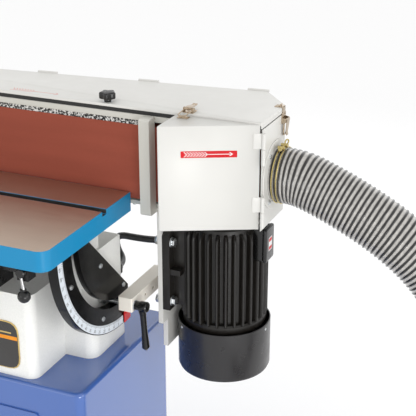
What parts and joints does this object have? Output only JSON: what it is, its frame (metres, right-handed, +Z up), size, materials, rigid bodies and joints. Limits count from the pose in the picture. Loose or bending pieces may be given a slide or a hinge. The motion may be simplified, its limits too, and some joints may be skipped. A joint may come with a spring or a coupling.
{
  "type": "edge belt sander",
  "caption": "Floor-standing edge sander: upright wide belt on a tilting head, hanging motor, height-adjusted cast table and dust hose.",
  "frame": {"origin": "floor level, at the centre of the four anchor holes of the cabinet", "axes": "+X along the belt towards the drive drum, -Y towards the operator, +Z up"},
  "size_m": [1.6327, 0.66, 1.16],
  "materials": {
    "white_paint": "smooth powder coat",
    "blue_paint": "gloss enamel",
    "arm_paint": "satin enamel",
    "black_casting": "black enamel over casting",
    "table_iron": "ground, edges painted light blue",
    "grey_casting": "light grey enamel",
    "motor_black": "black painted ribbed casting",
    "black_sheet": "satin black sheet",
    "steel": "turned",
    "alu": "turned",
    "zinc": "zinc plated",
    "nickel": "yellow-tinted nickel",
    "gold_zinc": "yellow zinc",
    "abrasive": "aluminium oxide grit on cloth",
    "graphite": "speckled graphite pad",
    "seal_rubber": "soft",
    "black_plastic": "moulded",
    "green_plastic": "moulded",
    "red_plastic": "moulded",
    "scale_white": "printed scale",
    "badge": "printed plate",
    "hose_grey": "light bands between dark ribs",
    "cable_black": "smooth"
  },
  "bodies": {
    "root": {"base_cabinet": "blue_paint", "pedestal": "white_paint", "pivot_pins": "steel", "trunnion_quadrant": "black_casting", "angle_scale": "scale_white", "trunnion_cover": "black_sheet", "trunnion_screws": "zinc", "name_badge": "badge", "switch_box": "black_plastic", "slide_way": "steel", "conduit_gland": "black_plastic", "cable_conduit": "cable_black", "dust_hose": "hose_grey", "hose_cuff": "black_plastic"},
    "cabinet_door": {"cabinet_door": "blue_paint"},
    "cabinet_latch": {"cabinet_latch": "black_plastic"},
    "start_button": {"start_button": "green_plastic"},
    "stop_button": {"stop_button": "red_plastic"},
    "table": {"main_table": "table_iron", "table_bracket": "black_casting"},
    "table_handwheel": {"table_handwheel": "black_plastic"},
    "table_lock_lever": {"table_lock_lever": "black_plastic"},
    "head": {"head_frame": "grey_casting", "top_rail": "grey_casting", "platen": "steel", "platen_pad": "graphite", "abrasive_belt": "abrasive", "rear_cover": "white_paint", "hood_shell": "white_paint", "idler_guard": "white_paint", "work_stop": "grey_casting", "motor_plate": "white_paint", "motor_body": "motor_black", "motor_feet": "motor_black", "motor_bolts": "zinc", "motor_cowl": "black_sheet", "terminal_box": "black_plastic", "tilt_arm": "arm_paint", "tilt_lock_bolt": "zinc", "dust_port": "white_paint", "port_screws": "zinc", "hose_clamp": "gold_zinc", "door_hinges": "white_paint", "lid_hinges": "white_paint", "end_latch_base": "nickel"},
    "tilt_lock_lever": {"tilt_lock_lever": "black_plastic"},
    "lid": {"lid": "white_paint", "lid_seal": "seal_rubber", "front_latch_base": "nickel"},
    "lid_knob": {"lid_knob": "black_plastic"},
    "front_latch_lever": {"front_latch_lever": "nickel"},
    "end_latch_lever": {"end_latch_lever": "nickel"},
    "door": {"door": "white_paint"},
    "drive": {"drive_drum": "alu", "motor_shaft": "steel", "motor_fan": "black_plastic"},
    "idler_carriage": {"idler_carriage": "steel"},
    "idler": {"idler_drum": "alu"},
    "tension_lever": {"tension_lever": "black_plastic"},
    "tracking_knob": {"tracking_knob": "black_plastic"}
  },
  "joints": [
    {"name": "head_tilt", "type": "hinge", "parent": "root", "child": "head", "pos_m": [0, 0.047, 0.911], "axis": [-1, 0, 0], "range_deg": [0, 75], "deforming": ["dust_hose", "cable_conduit"]},
    {"name": "table_height", "type": "slide", "parent": "root", "child": "table", "axis": [0, 0, 1], "range_m": [0, 0.075]},
    {"name": "table_handwheel_turn", "type": "hinge", "parent": "table", "child": "table_handwheel", "pos_m": [0.15, -0.25, 0.885], "axis": [0, -1, 0], "range_deg": [0, 360]},
    {"name": "table_lock", "type": "hinge", "parent": "table", "child": "table_lock_lever", "pos_m": [0.235, -0.25, 0.914], "axis": [0, -1, 0], "range_deg": [0, 60]},
    {"name": "cabinet_door_hinge", "type": "hinge", "parent": "root", "child": "cabinet_door", "pos_m": [-0.2045, -0.1945, 0.325], "axis": [0, 0, -1], "range_deg": [0, 110]},
    {"name": "cabinet_latch_turn", "type": "hinge", "parent": "cabinet_door", "child": "cabinet_latch", "pos_m": [0.15, -0.195, 0.33], "axis": [0, 1, 0], "range_deg": [0, 90]},
    {"name": "start_press", "type": "slide", "parent": "root", "child": "start_button", "axis": [0, 1, 0], "range_m": [0, 0.005], "stiffness_N_per_m": 600},
    {"name": "stop_press", "type": "slide", "parent": "root", "child": "stop_button", "axis": [0, 1, 0], "range_m": [0, 0.005], "stiffness_N_per_m": 600},
    {"name": "tilt_lock_turn", "type": "hinge", "parent": "head", "child": "tilt_lock_lever", "pos_m": [0.33, 0.01212, 0.73645], "axis": [1, 0, 0], "range_deg": [-45, 60]},
    {"name": "lid_hinge", "type": "hinge", "parent": "head", "child": "lid", "pos_m": [0.017, 0.20665, 1.139], "axis": [-0.9947, -0.1025, 0], "range_deg": [0, 100]},
    {"name": "lid_knob_turn", "type": "hinge", "parent": "lid", "child": "lid_knob", "pos_m": [0.24, 0.062, 1.15], "axis": [0, 0, 1], "continuous": true},
    {"name": "front_latch", "type": "hinge", "parent": "lid", "child": "front_latch_lever", "pos_m": [0.4145, 0.058, 1.147], "axis": [1, 0, 0], "range_deg": [0, 100]},
    {"name": "end_latch", "type": "hinge", "parent": "head", "child": "end_latch_lever", "pos_m": [0.572, 0.163, 1.115], "axis": [0, -1, 0], "range_deg": [0, 100]},
    {"name": "door_hinge", "type": "hinge", "parent": "head", "child": "door", "pos_m": [0.5695, 0.047, 1], "axis": [0, 0, 1], "range_deg": [0, 110]},
    {"name": "drive_spin", "type": "hinge", "parent": "head", "child": "drive", "pos_m": [0.456, 0.138, 0.9], "axis": [0, 0, 1], "continuous": true},
    {"name": "belt_tension", "type": "slide", "parent": "head", "child": "idler_carriage", "axis": [1, 0, 0], "range_m": [0, 0.0121]},
    {"name": "idler_spin", "type": "hinge", "parent": "idler_carriage", "child": "idler", "pos_m": [-0.472, 0.09, 1], "axis": [0, 0, 1], "continuous": true},
    {"name": "tension_lever_turn", "type": "hinge", "parent": "head", "child": "tension_lever", "pos_m": [-0.5, 0.09, 0.933], "axis": [0, 0, -1], "range_deg": [0, 60]},
    {"name": "tracking_turn", "type": "hinge", "parent": "head", "child": "tracking_knob", "pos_m": [-0.59, 0.1, 0.943], "axis": [1, 0, 0], "continuous": true}
  ],
  "couplings": [
    {"joint": "table_handwheel_turn", "follows": "table_height", "rad_per_m": 82.674},
    {"joint": "idler_spin", "follows": "drive_spin", "ratio": 2.237},
    {"joint": "belt_tension", "follows": "tension_lever_turn", "m_per_rad": 0.01146}
  ]
}
